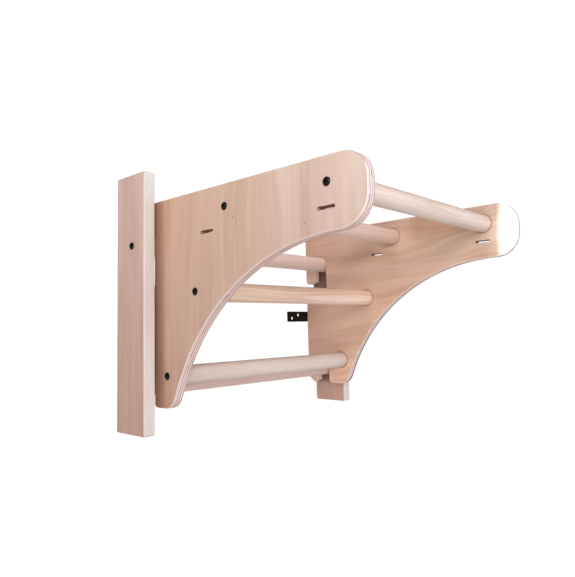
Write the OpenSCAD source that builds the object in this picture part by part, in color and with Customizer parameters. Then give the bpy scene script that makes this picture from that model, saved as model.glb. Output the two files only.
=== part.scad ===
// Head of a set of wall bars with a hook-on pull-up frame.
// Two upright boards on steel wall brackets carry two round rungs.
// Two arched plywood side plates, joined by four round bars, hook over the rungs.
// Millimetres. +X to the right, +Y into the wall, +Z up. The origin is on the wall plane,
// midway between the uprights, level with the centre line of the brackets.

/* [Uprights] */
// Thickness of each upright, across the width
upright_t = 27; // [22:1:40]
// Depth of each upright, from the wall to its front face
upright_depth = 101; // [92:1:130]
// Height of each upright's top above the bracket line
upright_rise = 300; // [275:5:360]
// Length of each upright
upright_length = 540; // [505:5:900]
// Rounding of each upright's long edges
upright_edge_r = 3; // [2:0.5:8]
// Rounding of each upright's end corners, seen from the side
upright_end_r = 7; // [3:0.5:12]
// Rounding of each upright's end corners, seen from the front
upright_tip_r = 5.5; // [2:0.5:8]

/* [Rungs] */
// Diameter of the rungs
rung_d = 40; // [32:1:42]
// Height of the upper rung's axis above the bracket line
upper_rung_rise = 147; // [120:1:170]
// Drop from the upper rung's axis to the lower rung's axis
rung_pitch = 292; // [270:1:305]
// Distance of the rungs' axes from the wall
rung_setback = 57; // [52:1:64]
// Depth of the blind seat for a rung's end in each upright
rung_seat = 15; // [8:1:17]

/* [Side plates] */
// Clear width between the two side plates
plate_span = 560; // [460:5:900]
// Thickness of each side plate
plate_t = 20; // [15:1:27]
// Air gap between each side plate and the upright beside it
plate_gap = 15; // [10:1:40]
// Distance of the plates' front tips from the wall
plate_reach = 620; // [570:1:760]
// Rise of the plates' top edge above the upper rung's axis
plate_rise = 94; // [82:1:130]
// Drop of the plates' lower edge below the lower rung's axis
plate_drop = 42; // [36:1:56]
// Air gap between the plates' rear edge and the wall
plate_wall_gap = 3.5; // [3.2:0.1:6]
// Height of the front tip's end, from the top edge to the arch
tip_h = 122; // [112:1:150]
// Rounding of the front tip's upper corner
tip_upper_r = 46; // [20:1:52]
// Rounding of the front tip's lower corner
tip_lower_r = 54; // [30:1:58]
// Radius of the lower nose
nose_r = 35; // [25:1:45]
// Distance of the lower nose's front from the wall
nose_reach = 148; // [144:1:190]
// Rounding of the plates' rear corners
plate_corner_r = 8; // [3:0.5:10]
// Length of the bevel below the lower fingers, along the plates' lower edge
heel_run = 23; // [14:1:26]
// Height of the bevel below the lower fingers, up the plates' rear edge
heel_rise = 16; // [8:1:24]

/* [Hooks] */
// Side clearance between a rung and the notch around it
notch_clear = 1; // [0.5:0.1:3]
// Air gap between a rung's crown and the notch that hangs over it
crown_gap = 0.3; // [0.3:0.1:0.6]
// Drop of the upper fingers' ends below the upper rung's axis
finger_drop = 54; // [40:1:66]
// Clearance above and below a rung in the rear entry of the upper notch
entry_clear = 2; // [2:0.5:6]
// Rounding of the fingers' ends
finger_r = 10; // [4:0.5:13]

/* [Pull-up bars] */
// Diameter of the four bars
bar_d = 40; // [34:1:46]
// Depth of the round pocket that holds a bar's end in each side plate
bar_seat = 5; // [3:0.5:9]
// Drop of the two top bars' axes below the plates' top edge
top_bars_drop = 43; // [36:1:52]
// Setback of the front bar's axis from the plates' tips
front_bar_setback = 77; // [65:1:115]
// Distance of the second bar's axis from the wall
second_bar_reach = 300; // [230:1:380]
// Distance of the middle bar's axis from the wall
middle_bar_reach = 212; // [150:1:230]
// Drop of the middle bar's axis below the plates' top edge
middle_bar_drop = 197; // [150:1:215]
// Distance of the lower bar's axis from the wall
lower_bar_reach = 121; // [114:1:126]
// Rise of the lower bar's axis above the plates' lower edge
lower_bar_rise = 65; // [52:1:90]

/* [Strap slots] */
// Length of each slot, end to end
slot_length = 35; // [25:1:50]
// Width of each slot
slot_width = 5; // [4.5:0.5:8]
// Drop of the slots' centre line below the plates' top edge
slot_drop = 84; // [80:1:94]
// Setback of the front slot's centre from the plates' tips
front_slot_setback = 80; // [70:1:110]
// Distance of the rear slot's centre from the wall
rear_slot_reach = 249; // [180:1:300]

/* [Bolts and inserts] */
// Diameter of the bolts' shanks
bolt_d = 8; // [6:0.5:9]
// Diameter of the bolts' button heads
bolt_head_d = 15.5; // [13:0.5:20]
// Height of the bolts' button heads
bolt_head_h = 4.5; // [3:0.25:6]
// Width across the flats of the hexagon sockets
hex_af = 5; // [4:0.5:6]
// Outer diameter of the threaded inserts
insert_d = 12; // [11:0.5:16]
// Length of the threaded inserts
insert_length = 18; // [12:1:30]

/* [Wall brackets] */
// Thickness of the brackets' steel
bracket_t = 2.5; // [2:0.1:2.9]
// Height of the brackets
bracket_h = 29; // [26:1:40]
// Length of the leg that lies on the wall
wall_leg = 119; // [90:1:160]
// Length of the leg that lies on the upright
side_leg = 45; // [38:1:70]
// Diameter of the wall holes
wall_hole_d = 8; // [6:0.5:9]
// Distance from the wall leg's free end to its first hole
wall_hole_end = 19; // [14:1:28]
// Distance between the wall holes along the leg
wall_hole_pitch = 26; // [16:1:40]
// Height difference between the two wall holes
wall_hole_stagger = 9; // [0:0.5:13]
// Distance between the two screws in the side leg
side_hole_pitch = 18; // [14:1:22]
// Diameter of the bracket screws' shanks
screw_d = 4.5; // [3.5:0.5:6]
// Diameter of the bracket screws' heads
screw_head_d = 9; // [8:0.5:11]
// Length of the bracket screws' shanks
screw_length = 20; // [14:1:23]

/* [Hidden] */
$fn = 128;
// Radial clearance of each wooden end in its blind seat
seat_fit = 0.2;
// Radial clearance of inserts and bolts in their holes
thread_fit = 0.1;
// Radial clearance of bolts in the boards that they pass through
pass_fit = 0.25;
// How far cuts run past the faces that they open
overrun = 1;
// How far a pilot hole runs on past the tip in it
pilot_extra = 4;
// Chamfer of the bars' and rungs' ends
bar_chamfer = 1;
// Upright rim of a button head, and depth of its hexagon socket
head_rim = 0.8;
socket_depth = 2.4;
// Height of the bracket screws' heads and depth of their cross slots
screw_head_h = 2.5;
cross_depth = 1.2;
cross_length = 5;
cross_width = 1;
// Bends and corners of the bracket, and the play of its holes
bracket_bend_r = 4;
bracket_inner_r = 1.5;
bracket_corner_r = 2.5;
side_hole_end = 10;
screw_hole_fit = 0.3;

// Heights and places that follow from the sizes above
upper_rung_z = upper_rung_rise;
lower_rung_z = upper_rung_z - rung_pitch;
upright_bottom = upright_rise - upright_length;
half_span = plate_span / 2;
plate_outer_x = half_span + plate_t;
upright_inner_x = plate_outer_x + plate_gap;
upright_outer_x = upright_inner_x + upright_t;
plate_top = upper_rung_z + plate_rise;
plate_bottom = lower_rung_z - plate_drop;

// Hook notches: their width, the crown of each over its rung, and the rear entry
notch_r = rung_d / 2 + notch_clear;
crown_drop = notch_r - rung_d / 2 - crown_gap;
finger_end = upper_rung_z - finger_drop;
entry_h = rung_d + 2 * entry_clear;
entry_floor = finger_end - entry_h;
lift_travel = finger_drop + entry_h / 2;

// Arch: a circle that touches the tip from below and the nose from outside
tip_underside = plate_top - tip_h;
arch_end = [plate_reach - tip_lower_r, tip_underside];
nose_centre = [nose_reach - nose_r, plate_bottom + nose_r];
arch_across = arch_end[0] - nose_centre[0];
arch_down = tip_underside - nose_centre[1];
arch_r = (pow(arch_across, 2) + pow(arch_down, 2) - pow(nose_r, 2)) / (2 * (arch_down + nose_r));
arch_centre = arch_end - [0, arch_r];
to_arch = (arch_centre - nose_centre) / norm(arch_centre - nose_centre);
nose_touch = nose_centre + nose_r * to_arch;
nose_foot = [nose_centre[0], plate_bottom];
nose_corner = nose_centre + nose_r * (to_arch + [0, -1]) / (1 - to_arch[1]);

// Distance from the wall and height of each bar, of each slot and of each rung
BAR_NAMES = ["front", "second", "middle", "lower"];
BAR_PLACES = [
    [plate_reach - front_bar_setback, plate_top - top_bars_drop],
    [second_bar_reach, plate_top - top_bars_drop],
    [middle_bar_reach, plate_top - middle_bar_drop],
    [lower_bar_reach, plate_bottom + lower_bar_rise]
];
SLOT_PLACES = [
    [plate_reach - front_slot_setback, plate_top - slot_drop],
    [rear_slot_reach, plate_top - slot_drop]
];
RUNG_HEIGHTS = [upper_rung_z, lower_rung_z];

// Lengths of what lies across the width
bar_length = plate_span + 2 * bar_seat;
rung_length = 2 * (upright_inner_x + rung_seat);
plate_bolt_length = plate_t - bar_seat + insert_length;
rung_bolt_length = upright_t - rung_seat + insert_length;

// Bracket holes, from the middle of the width and from the wall
wall_leg_end_x = upright_inner_x - wall_leg;
WALL_HOLES = [
    [wall_leg_end_x + wall_hole_end, -wall_hole_stagger / 2],
    [wall_leg_end_x + wall_hole_end + wall_hole_pitch, wall_hole_stagger / 2]
];
SIDE_HOLES = [side_leg - side_hole_end, side_leg - side_hole_end - side_hole_pitch];

SIDES = ["left", "right"];

// Places a piece of the left side as it is, or mirrored to the right side
module on_side(side) {
    if (side == "left") children();
    else mirror([1, 0, 0]) children();
}

// Stands a profile of (distance from the wall, height) upright, extruded towards -X
module from_side(thickness) {
    rotate([90, 0, -90]) linear_extrude(thickness) children();
}

// Puts a piece at a distance from the wall and a height
module at_place(place) {
    translate([0, -place[0], place[1]]) children();
}

// A cylinder along X from one place to a further one
module along_x(from_x, to_x, r) {
    translate([from_x, 0, 0]) rotate([0, 90, 0]) cylinder(h = to_x - from_x, r = r);
}

// A rectangle with four round corners, from its lowest corner
module rounded_rect(w, h, r) {
    translate([r, 0]) square([w - 2 * r, h]);
    translate([0, r]) square([w, h - 2 * r]);
    for (x = [r, w - r], y = [r, h - r])
        translate([x, y]) circle(r);
}

// What rounding takes from a corner at the origin of a solid that lies towards +x and +y
module corner_cut(r) {
    difference() {
        translate([-overrun, -overrun]) square(r + overrun);
        translate([r, r]) circle(r);
    }
}

// A turned bar along X with chamfered ends
module turned_bar(length, d) {
    c = bar_chamfer;
    profile = [
        [0, -length / 2], [d / 2 - c, -length / 2], [d / 2, c - length / 2],
        [d / 2, length / 2 - c], [d / 2 - c, length / 2], [0, length / 2]
    ];
    rotate([0, 90, 0]) rotate_extrude() polygon(profile);
}

// The hole for an insert and its bolt in the left end of a bar
module insert_bore(bar_end_x) {
    along_x(bar_end_x - overrun, bar_end_x + insert_length, insert_d / 2 + thread_fit);
    along_x(bar_end_x, bar_end_x + insert_length + pilot_extra, bolt_d / 2 + pass_fit);
}

// A bar or rung with an insert bore in both ends
module bored_bar(length, d) {
    difference() {
        turned_bar(length, d);
        for (side = SIDES) on_side(side) insert_bore(-length / 2);
    }
}

// A threaded insert, flush with the left end of its bar
module insert(bar_end_x) {
    color("silver") difference() {
        along_x(bar_end_x, bar_end_x + insert_length, insert_d / 2);
        along_x(bar_end_x - overrun, bar_end_x + insert_length + overrun, bolt_d / 2 + thread_fit);
    }
}

// A button-head bolt: its head lies on a face at the origin, outside it towards -X
module button_bolt(length) {
    head_r = bolt_head_d / 2;
    dome_h = bolt_head_h - head_rim;
    dome_r = (pow(head_r, 2) + pow(dome_h, 2)) / (2 * dome_h);
    color("black") rotate([0, 90, 0]) difference() {
        union() {
            rotate_extrude() intersection() {
                translate([0, -bolt_head_h]) square([head_r, bolt_head_h]);
                translate([0, dome_r - bolt_head_h]) circle(dome_r);
            }
            cylinder(h = length, d = bolt_d);
        }
        translate([0, 0, -bolt_head_h - overrun])
            cylinder(h = socket_depth + overrun, d = hex_af / cos(30), $fn = 6);
    }
}

// A pan-head wood screw on a face at the origin, its shank towards -X
module wood_screw() {
    color("black") rotate([0, -90, 0]) difference() {
        union() {
            cylinder(h = screw_length, d = screw_d);
            translate([0, 0, -screw_head_h]) cylinder(h = screw_head_h, d = screw_head_d);
        }
        for (turn = [0, 90])
            rotate([0, 0, turn])
                translate([-cross_length / 2, -cross_width / 2, -screw_head_h - overrun])
                    cube([cross_length, cross_width, cross_depth + overrun]);
    }
}

// The left upright: rounded all round, with a seat for each rung, and holes for bolt and screws
module upright() {
    color("burlywood") difference() {
        intersection() {
            translate([-upright_outer_x, -upright_depth, upright_bottom])
                linear_extrude(upright_length) rounded_rect(upright_t, upright_depth, upright_edge_r);
            translate([overrun - upright_inner_x, 0, upright_bottom])
                from_side(upright_t + 2 * overrun)
                    rounded_rect(upright_depth, upright_length, upright_end_r);
            translate([-upright_outer_x, overrun, upright_bottom]) rotate([90, 0, 0])
                linear_extrude(upright_depth + 2 * overrun)
                    rounded_rect(upright_t, upright_length, upright_tip_r);
        }
        for (z = RUNG_HEIGHTS) at_place([rung_setback, z])
            along_x(-upright_inner_x - rung_seat, overrun - upright_inner_x, rung_d / 2 + seat_fit);
        at_place([rung_setback, upper_rung_z])
            along_x(-upright_outer_x - overrun, -upright_inner_x, bolt_d / 2 + pass_fit);
        for (reach = SIDE_HOLES) at_place([reach, 0])
            along_x(bracket_t - upright_inner_x - screw_length, overrun - upright_inner_x,
                screw_d / 2 + thread_fit);
    }
}

module upper_rung() {
    color("wheat") at_place([rung_setback, upper_rung_z]) bored_bar(rung_length, rung_d);
}

module lower_rung() {
    color("wheat") at_place([rung_setback, lower_rung_z]) turned_bar(rung_length, rung_d);
}

module rung_bolt() {
    at_place([rung_setback, upper_rung_z]) translate([-upright_outer_x, 0, 0])
        button_bolt(rung_bolt_length);
}

module rung_insert() {
    at_place([rung_setback, upper_rung_z]) insert(-rung_length / 2);
}

// A bracket leg lying flat, square at the bend and round at its free end
module bracket_leg(length) {
    r = bracket_corner_r;
    square([length - r, bracket_h]);
    translate([0, r]) square([length, bracket_h - 2 * r]);
    for (y = [r, bracket_h - r]) translate([length - r, y]) circle(r);
}

// The left wall bracket: an angle in the corner of the wall and the upright's inner face
module wall_bracket() {
    color("dimgray") translate([-upright_inner_x, 0, -bracket_h / 2]) difference() {
        union() {
            rotate([90, 0, 0]) linear_extrude(bracket_t) bracket_leg(wall_leg);
            translate([bracket_t, 0, 0]) from_side(bracket_t) bracket_leg(side_leg);
            translate([bracket_t, -bracket_t, 0]) linear_extrude(bracket_h)
                mirror([0, 1]) corner_cut(bracket_inner_r);
        }
        translate([0, 0, -overrun]) linear_extrude(bracket_h + 2 * overrun)
            mirror([0, 1]) corner_cut(bracket_bend_r);
        for (hole = WALL_HOLES)
            translate([upright_inner_x - hole[0], overrun, bracket_h / 2 + hole[1]])
                rotate([90, 0, 0]) cylinder(h = bracket_t + 2 * overrun, d = wall_hole_d);
        for (reach = SIDE_HOLES) at_place([reach, bracket_h / 2])
            along_x(-overrun, bracket_t + overrun, screw_d / 2 + screw_hole_fit);
    }
}

module bracket_screws() {
    for (reach = SIDE_HOLES) at_place([reach, 0])
        translate([bracket_t - upright_inner_x, 0, 0]) wood_screw();
}

// The notch that hangs over a rung, down to a lower end
module notch(rung_z, low_end) {
    translate([rung_setback, rung_z - crown_drop]) circle(notch_r);
    translate([rung_setback - notch_r, low_end])
        square([2 * notch_r, rung_z - crown_drop - low_end]);
}

// All hook openings of a side plate, with the rounding of the corners beside them
module hook_openings() {
    finger_front = rung_setback - notch_r;
    notch_front = rung_setback + notch_r;
    notch(upper_rung_z, entry_floor + notch_r);
    translate([rung_setback, entry_floor + notch_r]) circle(notch_r);
    translate([plate_wall_gap - overrun, entry_floor])
        square([rung_setback - plate_wall_gap + overrun, entry_h]);
    translate([plate_wall_gap, entry_floor]) mirror([0, 1]) corner_cut(plate_corner_r);
    notch(lower_rung_z, plate_bottom - overrun);
    translate([notch_front, plate_bottom]) corner_cut(plate_corner_r);
    translate([plate_wall_gap, finger_end]) corner_cut(finger_r);
    for (low_end = [finger_end, plate_bottom])
        translate([finger_front, low_end]) mirror([1, 0]) corner_cut(finger_r);
}

// A slot with round ends, about its centre
module slot_shape() {
    straight = slot_length - slot_width;
    translate([-straight / 2, -slot_width / 2]) square([straight, slot_width]);
    for (end = [-straight / 2, straight / 2]) translate([end, 0]) circle(d = slot_width);
}

// What rounding the nose takes from the corner between the arch and the lower edge
module nose_cut() {
    beyond = nose_corner + overrun * (to_arch + [0, -1]);
    difference() {
        polygon([nose_centre, nose_touch, beyond, nose_foot]);
        translate(nose_centre) circle(nose_r);
    }
}

// The outline of a side plate, as (distance from the wall, height)
module plate_outline() {
    difference() {
        polygon([
            [plate_wall_gap, plate_top], [plate_reach, plate_top], [plate_reach, tip_underside],
            arch_end, nose_touch, nose_corner, nose_foot,
            [plate_wall_gap + heel_run, plate_bottom], [plate_wall_gap, plate_bottom + heel_rise]
        ]);
        translate(arch_centre) circle(arch_r, $fn = 4 * $fn);
        nose_cut();
        translate([plate_reach, plate_top]) mirror([1, 0]) mirror([0, 1]) corner_cut(tip_upper_r);
        translate([plate_reach, tip_underside]) mirror([1, 0]) corner_cut(tip_lower_r);
        translate([plate_wall_gap, plate_top]) mirror([0, 1]) corner_cut(plate_corner_r);
        hook_openings();
        for (place = SLOT_PLACES) translate(place) slot_shape();
    }
}

// The left side plate: a pocket inside and a bolt hole through for each bar
module side_plate() {
    color("tan") difference() {
        translate([-half_span, 0, 0]) from_side(plate_t) plate_outline();
        for (place = BAR_PLACES) at_place(place) {
            along_x(-half_span - bar_seat, overrun - half_span, bar_d / 2 + seat_fit);
            along_x(-plate_outer_x - overrun, -half_span, bolt_d / 2 + pass_fit);
        }
    }
}

module pull_up_bar(place) {
    color("wheat") at_place(place) bored_bar(bar_length, bar_d);
}

module plate_bolt(place) {
    at_place(place) translate([-plate_outer_x, 0, 0]) button_bolt(plate_bolt_length);
}

module bar_insert(place) {
    at_place(place) insert(-bar_length / 2);
}

upper_rung();
lower_rung();
for (side = SIDES) {
    on_side(side) upright();
    on_side(side) rung_bolt();
    on_side(side) rung_insert();
    on_side(side) wall_bracket();
    on_side(side) bracket_screws();
    on_side(side) side_plate();
}
for (i = [0 : len(BAR_NAMES) - 1]) {
    bar = BAR_NAMES[i];
    place = BAR_PLACES[i];
    pull_up_bar(place);
    for (side = SIDES) {
        on_side(side) plate_bolt(place);
        on_side(side) bar_insert(place);
    }
}
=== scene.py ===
"""Looks of the head of a set of wall bars with its hook-on pull-up frame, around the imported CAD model.

Every length is in metres, in the row's frame: +X to the right, +Y into the wall, +Z up.
Colours are written as they show on a screen, from 0 to 255. Tints and the lights' colours are factors.
"""

import math

import bmesh
import bpy
from mathutils import Matrix, Vector


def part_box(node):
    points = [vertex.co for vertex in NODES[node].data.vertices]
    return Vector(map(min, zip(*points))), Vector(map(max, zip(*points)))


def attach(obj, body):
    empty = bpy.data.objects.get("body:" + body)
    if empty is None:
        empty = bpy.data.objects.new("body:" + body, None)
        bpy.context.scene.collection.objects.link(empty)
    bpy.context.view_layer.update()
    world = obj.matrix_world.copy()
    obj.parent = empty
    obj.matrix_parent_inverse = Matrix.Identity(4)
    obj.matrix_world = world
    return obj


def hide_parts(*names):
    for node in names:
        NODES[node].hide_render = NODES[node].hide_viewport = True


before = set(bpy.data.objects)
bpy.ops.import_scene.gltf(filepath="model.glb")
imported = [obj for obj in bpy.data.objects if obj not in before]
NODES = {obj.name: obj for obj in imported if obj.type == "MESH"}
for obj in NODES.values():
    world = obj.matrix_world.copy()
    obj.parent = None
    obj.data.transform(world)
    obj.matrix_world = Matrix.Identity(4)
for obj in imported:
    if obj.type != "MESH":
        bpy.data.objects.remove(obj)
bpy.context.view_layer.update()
SIDES = ("left", "right")
BARS = ("front", "second", "middle", "lower")


# Places on the side plates, as (Y, Z)

def middle_of(node):
    low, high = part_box(node)
    return ((low.y + high.y) / 2, (low.z + high.z) / 2)


# Painted shade rings on the plates' insides: round each bar's end, and over the hook's crown.
HOOK_CROWN = (-0.057, 0.1463)
SHADED_SOCKETS = [middle_of(bar + "_bar") for bar in BARS] + [HOOK_CROWN]
SLOTS = ((-0.540, 0.157), (-0.249, 0.157))
PIN_KNOTS = {"left": ((-0.3226, 0.1745), (-0.4957, 0.1386)), "right": ()}

plate_low, plate_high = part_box("right_side_plate")
PLATE_INNER_FACE = plate_low.x
PLATE_THICKNESS = plate_high.x - plate_low.x


# Soft light and shade on the boards. Each board has a tint for all of it, one that grows towards the
# room and one that grows upwards. A board's spans are those of the two that grow, in Y and in Z.

LEFT_TINTS = ((0.79, 0.68, 0.64), (0.97, 1.22, 1.46), (1.21, 1.24, 1.18))
RIGHT_TINTS = ((1.15, 1.03, 1.03), (0.89, 1.04, 1.02), (0.79, 0.78, 0.81))
UPRIGHT_SIDE_TINTS = ((0.85, 0.75, 0.68), (1.00, 1.00, 1.00), (1.20, 1.38, 1.59))
UPRIGHT_FRONT_TINTS = ((0.79, 0.81, 0.83), (1.00, 1.00, 1.00), (1.00, 1.12, 1.13))
PLATE_SPANS = ((0.0, -0.62), (-0.19, 0.245))
UPRIGHT_SPANS = ((0.0, -0.10), (-0.24, 0.30))

# Patches of more light or shade: limits in Y, limits in Z and a tint. Each limit is a pair, from where
# the patch starts to where it is full.
BESIDE_UPRIGHT = (((-0.120, -0.103),), (), (0.79, 0.72, 0.71))
UPPER_FINGER = (((-0.044, -0.037),), ((0.055, 0.075), (0.150, 0.135)), (1.13, 1.15, 1.17))
UNDER_FRONT_BAR = (((-0.33, -0.38), (-0.53, -0.48)), ((0.165, 0.205),), (0.82, 0.73, 0.67))
BEFORE_FRONT_BAR = (((-0.545, -0.565),), (), (1.12, 1.18, 1.22))
BEHIND_PLATE = (((-0.101, -0.088),), ((-0.195, -0.180), (0.238, 0.225)), (0.46, 0.38, 0.34))


# Camera, at the photograph's viewpoint

PHOTO_WIDTH, PHOTO_HEIGHT = 575, 577
FOCAL_LENGTH_PIXELS = 573.2
OPTICAL_AXIS_PIXEL = (281.4, 268.7)
SENSOR_WIDTH_MM = 36.0
CAMERA_PLACE = Vector((-1.0007, -1.0897, -0.0292))
CAMERA_HEADING = math.radians(47.230)
CAMERA_PITCH = math.radians(5.833)
CAMERA_ROLL = math.radians(-1.397)


def make_camera():
    data = bpy.data.cameras.new("photo_camera")
    data.sensor_fit = "HORIZONTAL"
    data.sensor_width = SENSOR_WIDTH_MM
    data.lens = FOCAL_LENGTH_PIXELS / PHOTO_WIDTH * SENSOR_WIDTH_MM
    data.shift_x = (PHOTO_WIDTH / 2 - OPTICAL_AXIS_PIXEL[0]) / PHOTO_WIDTH
    data.shift_y = (OPTICAL_AXIS_PIXEL[1] - PHOTO_HEIGHT / 2) / PHOTO_WIDTH
    camera = bpy.data.objects.new("photo_camera", data)
    turn = (Matrix.Rotation(-CAMERA_HEADING, 4, "Z")
            @ Matrix.Rotation(math.pi / 2 + CAMERA_PITCH, 4, "X")
            @ Matrix.Rotation(CAMERA_ROLL, 4, "Z"))
    camera.matrix_world = Matrix.Translation(CAMERA_PLACE) @ turn
    bpy.context.scene.collection.objects.link(camera)
    bpy.context.scene.camera = camera


# Studio: floor, world and lights

FLOOR_HEIGHT = -1.95
FLOOR_SIDE = 60.0
FLOOR_GREY = (225, 225, 225)
FLOOR_GLOW_RADII = (1.6, 3.1)
FLOOR_GLOW_NEAR, FLOOR_GLOW_FAR = 0.22, 1.05
WORLD_SEEN, WORLD_AS_LIGHT = 1.05, 0.03

LIT_PLACE = (0, -0.3, 0.05)
AREA_LIGHTS = {  # place, side, power, colour
    "front": ((0, -3.0, 0.5), 1.6, 40, (0.66, 0.82, 1.0)),
    "front_right": ((2.0, -2.2, 0.8), 1.2, 13, (0.60, 0.82, 1.0)),
    "front_high": ((0, -2.2, 2.0), 1.4, 14, (1.0, 0.66, 0.42)),
    "left_high": ((-2.0, -0.8, 1.9), 2.4, 14, (0.85, 0.93, 1.0)),
    "near_camera": ((-1.4, -1.5, 0.6), 0.6, 15, (1.0, 1.0, 1.0)),
    "top": ((-0.3, -0.9, 2.6), 1.8, 18, (0.95, 0.97, 1.0))}

# The tip light's beam is a cone. On the right plate, this far away, it reaches this far from its axis.
TIP_LIGHT_PLACE = (-0.27, -1.175, 0.142)
TIP_LIGHT_DISTANCE = 0.55
TIP_LIGHT_REACH = 0.606
TIP_LIGHT_BLEND = 0.03
TIP_LIGHT_RADIUS = 0.002
TIP_LIGHT_POWER = 60.0
TIP_LIGHT_COLOUR = (0.60, 0.80, 1.0)


def make_floor():
    """A wide pale floor, grey below the object and white from a distance on."""
    mesh = bpy.data.meshes.new("floor")
    half = FLOOR_SIDE / 2
    corners = [(-half, -half), (half, -half), (half, half), (-half, half)]
    mesh.from_pydata([(x, y, FLOOR_HEIGHT) for x, y in corners], [], [(0, 1, 2, 3)])
    floor = bpy.data.objects.new("floor", mesh)
    bpy.context.scene.collection.objects.link(floor)
    s = Shader("pale_floor")
    x, y, _ = s.parts(s.place())
    away = s.calc("SQRT", s.plus(s.times(x, x), s.times(y, y)))
    glow = s.spread(away, *FLOOR_GLOW_RADII, FLOOR_GLOW_NEAR, FLOOR_GLOW_FAR)
    mesh.materials.append(s.finish(screen(*FLOOR_GREY), roughness=0.9, glow=glow))


def make_world():
    """Plain white surroundings: full white behind the object, dimmer as a light on it."""
    world = bpy.data.worlds.new("studio")
    world.use_nodes = True
    tree = world.node_tree
    back = tree.nodes["Background"]
    back.inputs["Color"].default_value = (1, 1, 1, 1)
    seen = tree.nodes.new("ShaderNodeLightPath").outputs["Is Camera Ray"]
    level = tree.nodes.new("ShaderNodeMapRange")
    level.inputs["To Min"].default_value = WORLD_AS_LIGHT
    level.inputs["To Max"].default_value = WORLD_SEEN
    tree.links.new(seen, level.inputs["Value"])
    tree.links.new(level.outputs["Result"], back.inputs["Strength"])
    bpy.context.scene.world = world


def make_area_light(name, place, side, power, colour):
    data = bpy.data.lights.new(name, "AREA")
    data.shape = "RECTANGLE"
    data.size = data.size_y = side
    data.energy = power
    data.color = colour
    light = bpy.data.objects.new(name, data)
    light.location = place
    light.rotation_euler = (Vector(LIT_PLACE) - Vector(place)).to_track_quat("-Z", "Y").to_euler()
    bpy.context.scene.collection.objects.link(light)


def make_tip_light():
    """The hard light that burns out the right plate's tip in the photograph, from between the plates."""
    data = bpy.data.lights.new("tip", "SPOT")
    data.energy = TIP_LIGHT_POWER
    data.color = TIP_LIGHT_COLOUR
    data.spot_size = 2 * math.atan(TIP_LIGHT_REACH / TIP_LIGHT_DISTANCE)
    data.spot_blend = TIP_LIGHT_BLEND
    data.shadow_soft_size = TIP_LIGHT_RADIUS
    light = bpy.data.objects.new("tip", data)
    light.location = TIP_LIGHT_PLACE
    light.rotation_euler = (math.pi / 2, 0, -math.pi / 2)
    bpy.context.scene.collection.objects.link(light)


# Shaders

def screen(r, g, b):
    """A colour as a screen shows it, as the linear colour that shaders take, by the sRGB curve."""
    def linear(level):
        c = level / 255
        return c / 12.92 if c <= 0.04045 else ((c + 0.055) / 1.055) ** 2.4
    return (linear(r), linear(g), linear(b), 1.0)


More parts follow.
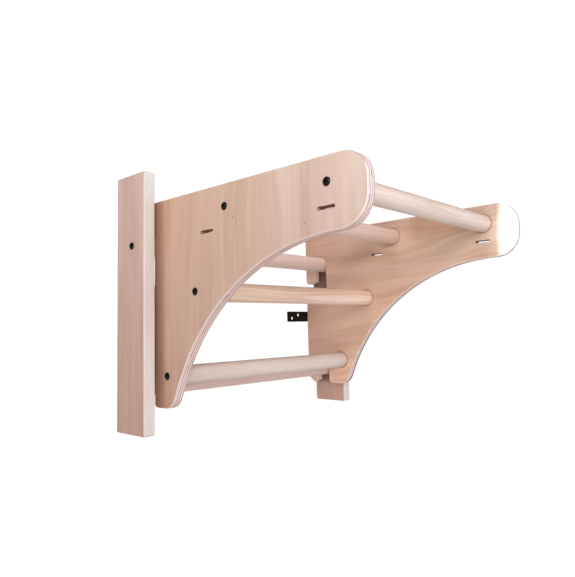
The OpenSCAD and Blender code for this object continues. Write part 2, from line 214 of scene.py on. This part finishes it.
class Shader:
    """A node material, with short ways to add its nodes.

    A value is a number, a colour or another node's output.
    """

    def __init__(self, name):
        self.material = bpy.data.materials.new(name)
        self.material.use_nodes = True
        self.tree = self.material.node_tree
        self.tree.nodes.clear()

    def add(self, kind, inputs, **settings):
        made = self.tree.nodes.new("ShaderNode" + kind)
        for name, value in settings.items():
            setattr(made, name, value)
        for name, value in inputs.items():
            self.put(made.inputs[name], value)
        return made

    def put(self, socket, value):
        if isinstance(value, bpy.types.NodeSocket):
            self.tree.links.new(value, socket)
        else:
            socket.default_value = value

    def place(self):
        """A point's place in the row's frame, in metres."""
        return self.add("TexCoord", {}).outputs["Object"]

    def parts(self, vector):
        return self.add("SeparateXYZ", {"Vector": vector}).outputs

    def vector(self, x, y, z):
        return self.add("CombineXYZ", {"X": x, "Y": y, "Z": z}).outputs["Vector"]

    def scaled(self, vector, scale, offset=(0, 0, 0)):
        made = self.add("Mapping", {"Vector": vector, "Scale": scale, "Location": offset})
        return made.outputs["Vector"]

    def calc(self, operation, *values):
        made = self.add("Math", {}, operation=operation)
        for socket, value in zip(made.inputs, values):
            self.put(socket, value)
        return made.outputs["Value"]

    def plus(self, first, second):
        return self.calc("ADD", first, second)

    def times(self, first, second):
        return self.calc("MULTIPLY", first, second)

    def noise(self, vector, scale=1.0, detail=2.0, roughness=0.5):
        made = self.add("TexNoise", {"Vector": vector, "Scale": scale, "Detail": detail, "Roughness": roughness})
        return made.outputs["Fac"]

    def spread(self, value, low, high, to_low=0.0, to_high=1.0, straight=False):
        """Maps low..high smoothly to to_low..to_high, and holds it there outside."""
        made = self.add("MapRange", {"Value": value, "From Min": low, "From Max": high,
                                     "To Min": to_low, "To Max": to_high},
                        interpolation_type="LINEAR" if straight else "SMOOTHSTEP")
        return made.outputs["Result"]

    def mix(self, share, first, second, blend="MIX"):
        made = self.add("Mix", {}, data_type="RGBA", blend_type=blend)
        self.put(made.inputs["Factor"], share)
        self.put(made.inputs["A"], first)
        self.put(made.inputs["B"], second)
        return made.outputs["Result"]

    def tinted(self, colour, tint, share=1.0):
        return self.mix(share, colour, tint + (1,), "MULTIPLY")

    def ramp(self, value, levels, *colours):
        """Goes from the first colour, at the lower level, to the second one, at the upper level."""
        made = self.add("ValToRGB", {"Fac": value})
        for element, level, colour in zip(made.color_ramp.elements, levels, colours):
            element.position = level
            element.color = colour
        return made.outputs["Color"]

    def near(self, y, z, radii, strength):
        """The strength up to the first radius from a line along X through (y, z), fading to the second."""
        flat = self.scaled(self.place(), (0, 1, 1))
        apart = self.add("VectorMath", {0: flat, 1: (0, y, z)}, operation="DISTANCE")
        return self.spread(apart.outputs["Value"], *radii, strength, 0.0)

    def drift(self, colour, tints, spans):
        """Tints a colour all over, then evenly more along the span in Y, then along the span in Z, as painted
        soft light and shade.
        """
        _, y, z = self.parts(self.place())
        shares = [1.0] + [self.spread(value, *span, straight=True) for value, span in zip((y, z), spans)]
        for share, tint in zip(shares, tints):
            colour = self.tinted(colour, tint, share)
        return colour

    def shaded(self, colour, patches):
        """Tints patches of the surface, each within soft limits in Y and in Z, as painted light and shade."""
        _, y, z = self.parts(self.place())
        for limits_y, limits_z, tint in patches:
            inside = 1.0
            for value, limits in ((y, limits_y), (z, limits_z)):
                for limit in limits:
                    inside = self.times(inside, self.spread(value, *limit))
            colour = self.tinted(colour, tint, inside)
        return colour

    def bump(self, height, strength, distance):
        made = self.add("Bump", {"Height": height, "Strength": strength, "Distance": distance})
        return made.outputs["Normal"]

    def finish(self, base_colour, roughness, normal=None, metallic=0.0, coat=0.0, coat_roughness=0.3,
               specular=0.5, glow=0.0):
        body = self.add("BsdfPrincipled", {
            "Base Color": base_colour, "Roughness": roughness, "Metallic": metallic, "Coat Weight": coat,
            "Coat Roughness": coat_roughness, "Specular IOR Level": specular,
            "Emission Color": (1, 1, 1, 1), "Emission Strength": glow})
        if normal is not None:
            self.put(body.inputs["Normal"], normal)
        out = self.add("OutputMaterial", {})
        self.tree.links.new(body.outputs["BSDF"], out.inputs["Surface"])
        return self.material


# Woods. Scales are those of a noise along the grain, across it and across it the other way. Levels are
# where in a noise an effect starts and where it is full. Shares are how much it then counts.

GRAIN_AXES = {"x": (0, 1, 2), "y": (1, 0, 2), "z": (2, 0, 1)}
MOST_NOISE = (0.3, 0.7)
FLECK_LEVELS = (0.64, 0.74)
FLECK_BROWN = (150, 105, 80)
WOOD_RELIEF = 0.0004
DETAIL_LEVELS = (0.3, 0.8)
LACQUER = {"coat_roughness": 0.35, "specular": 0.35}

BEECH_SCALES = {"wander": (1.6, 9, 9), "tone": (2.2, 26, 26), "fibre": (45, 900, 900),
                "flecks": (330, 1900, 1900)}
BEECH_SHARES = {"tone": 0.9, "fibre": 0.35, "flecks": 0.22}
BEECH_LEVELS = (0.46, 0.78)
BEECH_ROUGHNESS = (0.5, 0.62)
PITH_ASIDE = (0.11, -0.07)
RING_WANDER = 0.03
RING_WAVES = 1500.0  # radians per metre of radius
PLAIN_RING_SHARE = 0.05

VENEER_SCALES = {"drift": (2.0, 6.0, 1), "hue": (3.0, 17, 1), "fibre": (40, 1100, 1),
                 "flecks": (420, 2100, 1)}
VENEER_SHARES = {"fibre": 0.22, "pink": 0.55, "flecks": 0.16}
VENEER_LEVELS = (0.40, 0.82)
VENEER_ROUGHNESS = (0.46, 0.58)
HUE_LEVELS = (0.40, 0.62)
HUE_OFFSET = (5, 3, 0)
RING_SCALES = (0.8, 22.0)
TONE_SCALES = (2.6, 16.0)
PIN_RADII, PIN_STRENGTH, PIN_BROWN = (0.0006, 0.0022), 0.75, (110, 70, 50)
# Painted shade: a dark brown ring in the gap round each bar's end and over the hook's crown.
SOCKET_SHADE_RADII, SOCKET_SHADE_STRENGTH, SOCKET_SHADE_BROWN = (0.0205, 0.0240), 0.9, (92, 58, 40)

PLIES = 7
PLY_WOBBLE_SCALE, PLY_WOBBLE = 14, 0.22
PLY_TURN = (0.20, 0.34)
PLY_ALONG, PLY_ACROSS = (218, 204, 196), (172, 142, 140)
STREAK_SCALES, STREAK_LEVELS, STREAK_SHARE = (700, 60, 60), (0.35, 0.75), 0.5
GRIT_SCALE, GRIT_LEVELS, GRIT_SHARE = 900, (0.5, 0.75), 0.5
VOID_SCALES, VOID_LEVELS, VOID_SHARE = (190, 42, 42), (0.61, 0.68), 0.8
STREAK_MAUVE, GRIT_BROWN, VOID_BROWN = (198, 174, 176), (140, 106, 102), (104, 64, 62)
# The brown of the painted shade on one outer ply of a plate's edge.
PLY_SHADE_BROWN = (132, 104, 88)
# Edges that face down are painted warmer, as light from below: the tint, and the normal's upward part where it
# starts and where it is full.
UNDERSIDE_LIGHT_TINT, UNDERSIDE_LIMIT = (1.06, 0.92, 0.85), (-0.15, -0.65)
# Where an outer ply begins to be painted darker as shade and where it is fully so, as shares of the thickness
# from inside.
SHADED_PLY = {"left": (0.13, 0.06), "right": (0.55, 0.80)}


def along_grain(shader, axis):
    """The place as (along the grain, across it, across it the other way)."""
    xyz = shader.parts(shader.place())
    return shader.vector(*(xyz[i] for i in GRAIN_AXES[axis]))


def solid_beech(name, axis, pale, deep, seed, ring_share=PLAIN_RING_SHARE, tints=None, patches=()):
    """Solid beech: faint growth rings round a pith outside the piece, and fine dark ray flecks."""
    s = Shader(name)
    grain = along_grain(s, axis)
    place = s.scaled(grain, (1, 1, 1), (seed, 0, 0))
    wander = s.noise(s.scaled(place, BEECH_SCALES["wander"]), detail=2)
    _, *across = s.parts(grain)
    squares = [s.calc("POWER", s.plus(value, aside), 2.0) for value, aside in zip(across, PITH_ASIDE)]
    radius = s.plus(s.calc("SQRT", s.plus(*squares)), s.times(wander, RING_WANDER))
    rings = s.calc("SINE", s.times(radius, RING_WAVES))
    tone = s.noise(s.scaled(place, BEECH_SCALES["tone"]), detail=3, roughness=0.6)
    fibre = s.noise(s.scaled(place, BEECH_SCALES["fibre"]), detail=3, roughness=0.65)
    flecks = s.spread(s.noise(s.scaled(place, BEECH_SCALES["flecks"]), detail=1), *FLECK_LEVELS)
    level = s.plus(s.times(tone, BEECH_SHARES["tone"]), s.times(fibre, BEECH_SHARES["fibre"]))
    level = s.plus(level, s.times(rings, ring_share))
    colour = s.ramp(level, BEECH_LEVELS, screen(*deep), screen(*pale))
    colour = s.mix(s.times(flecks, BEECH_SHARES["flecks"]), colour, screen(*FLECK_BROWN))
    if tints:
        colour = s.drift(colour, tints, UPRIGHT_SPANS)
    colour = s.shaded(colour, patches)
    relief = s.plus(fibre, s.times(flecks, -0.5))
    rough = s.spread(fibre, *MOST_NOISE, *BEECH_ROUGHNESS)
    return s.finish(colour, rough, s.bump(relief, 0.12, WOOD_RELIEF), coat=0.08, **LACQUER)


def veneer(name, axis, colours, tints, slant, wave, ring_share, ring_count, seed, patches, pins=(),
           shaded_sockets=()):
    """A plate's face: rotary-cut beech veneer, its grain along axis with a slant, and a few pin knots, with
    painted light and shade from tints and patches and painted shade rings round the bars' ends.
    """
    s = Shader(name)
    place = s.scaled(along_grain(s, axis), (1, 1, 1), (seed, 0, 0))
    along, _, across = s.parts(place)
    height = s.plus(across, s.times(along, slant))
    flat = s.vector(along, height, 0.0)
    drift = s.noise(s.scaled(flat, VENEER_SCALES["drift"]), detail=2)
    cut = s.plus(height, s.times(drift, wave))
    rings, tone = (s.vector(s.times(along, scales[0]), s.times(cut, scales[1]), 0.0)
                   for scales in (RING_SCALES, TONE_SCALES))
    lines = s.calc("SINE", s.times(s.noise(rings, detail=4, roughness=0.6), ring_count))
    hue = s.noise(s.scaled(flat, VENEER_SCALES["hue"], HUE_OFFSET), detail=2)
    fibre = s.noise(s.scaled(flat, VENEER_SCALES["fibre"]), detail=3, roughness=0.65)
    flecks = s.spread(s.noise(s.scaled(flat, VENEER_SCALES["flecks"]), detail=1), *FLECK_LEVELS)
    level = s.plus(s.noise(tone, detail=3), s.times(fibre, VENEER_SHARES["fibre"]))
    level = s.plus(level, s.times(lines, ring_share))
    pale, deep, pink = (screen(*colour) for colour in colours)
    colour = s.ramp(level, VENEER_LEVELS, deep, pale)
    colour = s.mix(s.spread(hue, *HUE_LEVELS), colour, s.mix(VENEER_SHARES["pink"], colour, pink))
    colour = s.mix(s.times(flecks, VENEER_SHARES["flecks"]), colour, screen(*FLECK_BROWN))
    colour = s.drift(colour, tints, PLATE_SPANS)
    colour = s.shaded(colour, patches)
    for y, z in pins:
        colour = s.mix(s.near(y, z, PIN_RADII, PIN_STRENGTH), colour, screen(*PIN_BROWN))
    # Painted shade in the gaps round the bars' ends and over the hook's crown.
    for y, z in shaded_sockets:
        colour = s.mix(s.near(y, z, SOCKET_SHADE_RADII, SOCKET_SHADE_STRENGTH), colour, screen(*SOCKET_SHADE_BROWN))
    relief = s.plus(fibre, s.times(lines, 0.1))
    rough = s.spread(fibre, *MOST_NOISE, *VENEER_ROUGHNESS)
    return s.finish(colour, rough, s.bump(relief, 0.10, WOOD_RELIEF), coat=0.10, **LACQUER)


def ply_edge(name, shaded_ply):
    """A plate's sawn edge: crossed plies, pale along the grain, mauve across it, with a few voids, painted shade
    on one outer ply and painted warm light below.
    """
    s = Shader(name)
    place = s.place()
    from_inside = s.calc("SUBTRACT", s.calc("ABSOLUTE", s.parts(place)[0]), PLATE_INNER_FACE)
    depth = s.calc("DIVIDE", from_inside, PLATE_THICKNESS)
    wobble = s.noise(place, scale=PLY_WOBBLE_SCALE, detail=2)
    layer = s.plus(s.times(depth, PLIES / 2), s.times(wobble, PLY_WOBBLE))
    across = s.spread(s.calc("PINGPONG", layer, 0.5), *PLY_TURN)
    streak = s.noise(s.scaled(place, STREAK_SCALES), detail=3)
    grit = s.noise(place, scale=GRIT_SCALE, detail=2)
    grit_spots = s.times(s.spread(grit, *GRIT_LEVELS), s.times(across, GRIT_SHARE))
    voids = s.spread(s.noise(s.scaled(place, VOID_SCALES), detail=1), *VOID_LEVELS)
    colour = s.mix(across, screen(*PLY_ALONG), screen(*PLY_ACROSS))
    colour = s.mix(s.spread(streak, *STREAK_LEVELS, to_high=STREAK_SHARE), colour, screen(*STREAK_MAUVE))
    colour = s.mix(grit_spots, colour, screen(*GRIT_BROWN))
    colour = s.mix(s.times(voids, s.times(across, VOID_SHARE)), colour, screen(*VOID_BROWN))
    # Painted shade: one outer ply turns brown.
    colour = s.mix(s.spread(depth, *shaded_ply), colour, screen(*PLY_SHADE_BROWN))
    up = s.parts(s.add("NewGeometry", {}).outputs["Normal"])[2]
    # Painted light: the edges that face down turn warmer.
    colour = s.mix(s.spread(up, *UNDERSIDE_LIMIT), colour, s.tinted(colour, UNDERSIDE_LIGHT_TINT))
    relief = s.plus(s.times(across, -0.5), s.times(grit, 0.4))
    return s.finish(colour, 0.62, s.bump(relief, 0.25, WOOD_RELIEF), specular=0.3)


def sawn_inside(name, pale, deep):
    """Routed plies seen from one side only, as in the strap slots and on the upper hook's finger. The colours
    given are painted shade in the slots and painted light on the finger.
    """
    s = Shader(name)
    grain = s.noise(s.scaled(s.place(), (600, 60, 60)), detail=3)
    colour = s.ramp(grain, DETAIL_LEVELS, screen(*deep), screen(*pale))
    return s.finish(colour, 0.7, s.bump(grain, 0.2, 0.0003), specular=0.2)


def veneer_rim(name, pale, deep):
    """The eased rim of a plate's face veneer."""
    s = Shader(name)
    grain = s.noise(s.place(), scale=500, detail=2)
    return s.finish(s.ramp(grain, DETAIL_LEVELS, screen(*deep), screen(*pale)), 0.55, specular=0.35)


# Steels

BLACK_COLOURS, BLACK_ROUGHNESS = ((6, 6, 6), (16, 14, 14)), (0.14, 0.22)
ZINC_COLOURS, ZINC_ROUGHNESS = ((196, 198, 200), (168, 170, 174)), (0.28, 0.42)
SPANGLE_LEVELS = (0.0, 0.7)


def black_steel(name):
    """Black coated steel: a fine satin powder coat with faint wear."""
    s = Shader(name)
    place = s.place()
    grain = s.noise(place, scale=1800, detail=3)
    cloud = s.noise(place, scale=60, detail=2)
    colour = s.ramp(cloud, DETAIL_LEVELS, *(screen(*c) for c in BLACK_COLOURS))
    rough = s.spread(grain, *MOST_NOISE, *BLACK_ROUGHNESS)
    return s.finish(colour, rough, s.bump(grain, 0.08, 0.0001), specular=0.2)


def zinc_steel(name):
    """Zinc-plated steel with a faint spangle."""
    s = Shader(name)
    cells = s.add("TexVoronoi", {"Vector": s.place(), "Scale": 700.0}).outputs["Distance"]
    colour = s.ramp(cells, SPANGLE_LEVELS, *(screen(*c) for c in ZINC_COLOURS))
    return s.finish(colour, s.spread(cells, *SPANGLE_LEVELS, *ZINC_ROUGHNESS), metallic=1.0)


# Pieces

PLATE_EASE, UPRIGHT_EASE, BRACKET_EASE, BOLT_EASE = 0.0011, 0.0008, 0.0004, 0.0003
WELD_DISTANCE = 1e-6
FLAT_ANGLE = math.radians(0.4)
SHARP_ANGLE = math.radians(35)
BROAD_NORMAL = 0.98
ON_PLANE = 5e-5

# Limits that tell a board's faces apart. On a plate: half a slot with its rim, and where the room side
# of the upper hook's finger lies. Then parts of a face's normal, on a plate and on an upright.
SLOT_HALF_LENGTH, SLOT_HALF_HEIGHT = 0.021, 0.0055
FINGER_FRONT, FINGER_BACK, FINGER_LOWEST = -0.045, -0.0345, -0.18
RIM_NORMAL, UPPER_RIM_NORMAL, HALF_NORMAL = 0.25, 0.3, 0.5
FRONT_NORMAL, EDGE_NORMAL = 0.95, 0.3


def bake_modifiers(piece):
    unbaked = piece.data
    evaluated = piece.evaluated_get(bpy.context.evaluated_depsgraph_get())
    piece.data = bpy.data.meshes.new_from_object(evaluated)
    piece.modifiers.clear()
    bpy.data.meshes.remove(unbaked)


def is_broad(face):
    return abs(face.normal.x) > BROAD_NORMAL


def recut_broad_sides(mesh):
    """Fills a board's broad sides anew, since rounding the edges of holes folds the old faces."""
    work = bmesh.new()
    work.from_mesh(mesh)
    broad = [face for face in work.faces if is_broad(face)]
    planes = {round(v.co.x, 4) for face in broad for v in face.verts}
    bmesh.ops.delete(work, geom=broad, context="FACES")
    for plane in sorted(planes):
        outline = [edge for edge in work.edges
                   if edge.is_boundary and all(abs(v.co.x - plane) < ON_PLANE for v in edge.verts)]
        bmesh.ops.triangle_fill(work, edges=outline, use_beauty=True, normal=(1, 0, 0))
    bmesh.ops.recalc_face_normals(work, faces=work.faces)
    work.to_mesh(mesh)
    work.free()


def flatten_broad_sides(mesh):
    """Shades a board's broad sides exactly flat, up to their rims."""
    normals = [tuple(corner.vector) for corner in mesh.corner_normals]
    for face in mesh.polygons:
        if is_broad(face):
            for corner in face.loop_indices:
                normals[corner] = (math.copysign(1, face.normal.x), 0, 0)
                mesh.edges[mesh.loops[corner].edge_index].use_edge_sharp = True
    mesh.normals_split_custom_set(normals)


def eased_copy(node, ease, segments=2, board=False):
    """A copy of a CAD node's mesh with its sharp edges rounded, in the node's place on its body."""
    mesh = bpy.data.meshes.new(node + "_dressed")
    work = bmesh.new()
    work.from_mesh(NODES[node].data)
    bmesh.ops.remove_doubles(work, verts=work.verts, dist=WELD_DISTANCE)
    bmesh.ops.dissolve_limit(work, angle_limit=FLAT_ANGLE, verts=work.verts, edges=work.edges)
    work.to_mesh(mesh)
    work.free()
    piece = bpy.data.objects.new(node + "_dressed", mesh)
    bpy.context.scene.collection.objects.link(piece)
    bevel = piece.modifiers.new("ease", "BEVEL")
    bevel.width = ease
    bevel.segments = segments
    bevel.limit_method = "ANGLE"
    bevel.angle_limit = SHARP_ANGLE
    bevel.use_clamp_overlap = False
    bevel.loop_slide = False
    bake_modifiers(piece)
    if board:
        recut_broad_sides(piece.data)
    piece.modifiers.new("flat", "WEIGHTED_NORMAL").keep_sharp = True
    piece.data.shade_smooth()
    bake_modifiers(piece)
    if board:
        flatten_broad_sides(piece.data)
    return piece


def dress(piece, node, body):
    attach(piece, body)
    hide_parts(node)


def paint(obj, *materials):
    obj.data.materials.clear()
    for material in materials:
        obj.data.materials.append(material)


def paint_faces(piece, materials, kind_of_face):
    """Gives each face of a board the material of its kind."""
    paint(piece, *materials.values())
    kinds = list(materials)
    for face in piece.data.polygons:
        outward = face.normal.x if face.center.x > 0 else -face.normal.x
        face.material_index = kinds.index(kind_of_face(face, outward))


def kind_of_plate_face(face, outward):
    """What a face of a side plate is. The rims along the top, and outside on the right plate, are painted darker
    as shade.
    """
    centre, normal = face.center, face.normal
    if abs(outward) > BROAD_NORMAL:
        return "outside" if outward > 0 else "inside"
    # A slot's upper and lower walls are painted darker as shade.
    if any(abs(centre.y - y) < SLOT_HALF_LENGTH and abs(centre.z - z) < SLOT_HALF_HEIGHT for y, z in SLOTS):
        return "slot" if abs(normal.z) > HALF_NORMAL else "outline"
    if abs(outward) > RIM_NORMAL:
        # The rims along the top, and outside on the right plate, are painted dark as shade.
        return "shaded_rim" if normal.z > UPPER_RIM_NORMAL or (centre.x > 0 and outward > 0) else "rim"
    # The front side of the upper hook's finger is painted paler as light.
    if FINGER_FRONT < centre.y < FINGER_BACK and normal.y < -HALF_NORMAL and centre.z > FINGER_LOWEST:
        return "finger"
    return "outline"


def kind_of_upright_face(face, outward):
    """What a face of an upright is. The back counts as front, and both ends as inside."""
    if abs(face.normal.y) >= FRONT_NORMAL:
        return "front"
    # The eased long edges, painted palest as a highlight.
    if abs(face.normal.y) > EDGE_NORMAL:
        return "edge"
    return "outside" if outward > 0 else "inside"


def make_side_plate(side, materials):
    """A plate with eased rims: veneer on its faces, plies on its edges and a rim between them."""
    node = side + "_side_plate"
    piece = eased_copy(node, PLATE_EASE, segments=3, board=True)
    paint_faces(piece, materials, kind_of_plate_face)
    dress(piece, node, "pull_up_frame")


def make_upright(side, materials):
    """An upright with eased edges: a wood for each side, for front and back, and for the edges, lit and shaded
    copies of one beech with a painted highlight on the edges.
    """
    node = side + "_upright"
    piece = eased_copy(node, UPRIGHT_EASE, board=True)
    paint_faces(piece, materials, kind_of_upright_face)
    dress(piece, node, "wall_frame")


def make_steel(node, body, ease, material):
    piece = eased_copy(node, ease)
    paint(piece, material)
    dress(piece, node, body)


def finish_node(node, material):
    """Keeps a CAD node's own shape and gives it a new finish."""
    paint(NODES[node], material)


# The scene

BAR_WOODS = {  # pale, deep, share of the growth rings
    "front": ((214, 194, 181), (197, 172, 155), 0.07),
    "second": ((219, 194, 178), (202, 168, 150), 0.07),
    "middle": ((229, 198, 177), (211, 169, 142), 0.12),
    "lower": ((209, 188, 174), (191, 165, 152), 0.07)}
BAR_SEED_STEP = 3.1
UPPER_RUNG_WOOD = ((233, 210, 199), (215, 185, 168))
# The lower rung is painted darker and pinker than the upper one, as shade under the lowest bar.
LOWER_RUNG_SHADED_WOOD = ((226, 190, 178), (206, 166, 152))
# The uprights' woods are lit and shaded copies of one beech: sides darker and warmer as painted shade, front and
# back paler as painted light, edges palest as a painted highlight.
UPRIGHT_SHADED_SIDE_WOOD = ((232, 198, 184), (214, 176, 160))
UPRIGHT_LIT_FRONT_WOOD = ((238, 216, 207), (222, 196, 184))
UPRIGHT_EDGE_HIGHLIGHT_WOOD = ((244, 222, 208), (232, 206, 190))
VENEERS = {  # colours: pale, deep, pink
    "left": {"colours": ((236, 204, 180), (214, 172, 148), (230, 190, 174)), "tints": LEFT_TINTS,
             "axis": "z", "slant": 0.0, "wave": 0.09, "ring_share": 0.06, "ring_count": 42.0},
    "right": {"colours": ((243, 209, 180), (216, 172, 144), (234, 194, 174)), "tints": RIGHT_TINTS,
              "axis": "y", "slant": 0.05, "wave": 0.16, "ring_share": 0.085, "ring_count": 36.0}}

make_camera()
bpy.context.scene.view_settings.view_transform = "Standard"
make_world()
make_floor()
for light_name, light in AREA_LIGHTS.items():
    make_area_light(light_name, *light)
make_tip_light()

for i, bar in enumerate(BARS):
    *wood, ring_share = BAR_WOODS[bar]
    finish_node(bar + "_bar", solid_beech("beech_bar_" + bar, "x", *wood, i * BAR_SEED_STEP, ring_share))
finish_node("upper_rung", solid_beech("beech_rungs", "x", *UPPER_RUNG_WOOD, seed=17.0))
finish_node("lower_rung", solid_beech("beech_lower_rung_shaded", "x", *LOWER_RUNG_SHADED_WOOD, seed=19.0))
upright_woods = {
    "outside": solid_beech("beech_upright_shaded_outsides", "z", *UPRIGHT_SHADED_SIDE_WOOD, seed=23.0,
                           tints=UPRIGHT_SIDE_TINTS),
    "inside": solid_beech("beech_upright_shaded_insides", "z", *UPRIGHT_SHADED_SIDE_WOOD, seed=26.0,
                          tints=UPRIGHT_SIDE_TINTS, patches=(BEHIND_PLATE,)),
    "front": solid_beech("beech_upright_lit_fronts", "z", *UPRIGHT_LIT_FRONT_WOOD, seed=29.0,
                         tints=UPRIGHT_FRONT_TINTS),
    "edge": solid_beech("beech_upright_edge_highlights", "z", *UPRIGHT_EDGE_HIGHLIGHT_WOOD, seed=31.0,
                        tints=UPRIGHT_FRONT_TINTS)}
plate_details = {
    "rim": veneer_rim("veneer_rim", (244, 228, 214), (228, 206, 190)),
    # Painted shade: the darker rim along the top and outside on the right plate.
    "shaded_rim": veneer_rim("veneer_shaded_rim", (152, 124, 108), (128, 100, 86)),
    # Painted shade on the slots' upper and lower walls, painted light on the finger's front side.
    "slot": sawn_inside("slot_inside_shaded", (185, 143, 115), (140, 98, 74)),
    "finger": sawn_inside("finger_side_lit", (255, 228, 216), (246, 210, 198))}
steel = black_steel("black_steel")
zinc = zinc_steel("zinc_steel")

for side in SIDES:
    plate_sides = {
        "outside": veneer(f"veneer_{side}_outside", seed=1.0, patches=(BESIDE_UPRIGHT,),
                          pins=PIN_KNOTS[side], **VENEERS[side]),
        "inside": veneer(f"veneer_{side}_inside", seed=7.0, shaded_sockets=SHADED_SOCKETS,
                         patches=(UPPER_FINGER, UNDER_FRONT_BAR, BEFORE_FRONT_BAR), **VENEERS[side]),
        "outline": ply_edge("ply_edge_" + side, SHADED_PLY[side])}
    make_side_plate(side, {**plate_sides, **plate_details})
    make_upright(side, upright_woods)
    make_steel(side + "_wall_bracket", "wall_frame", BRACKET_EASE, steel)
    make_steel(side + "_rung_bolt", "wall_frame", BOLT_EASE, steel)
    finish_node(side + "_bracket_screws", steel)
    finish_node(side + "_rung_insert", zinc)
    for bar in BARS:
        make_steel(f"{side}_{bar}_bolt", "pull_up_frame", BOLT_EASE, steel)
        finish_node(f"{side}_{bar}_insert", zinc)
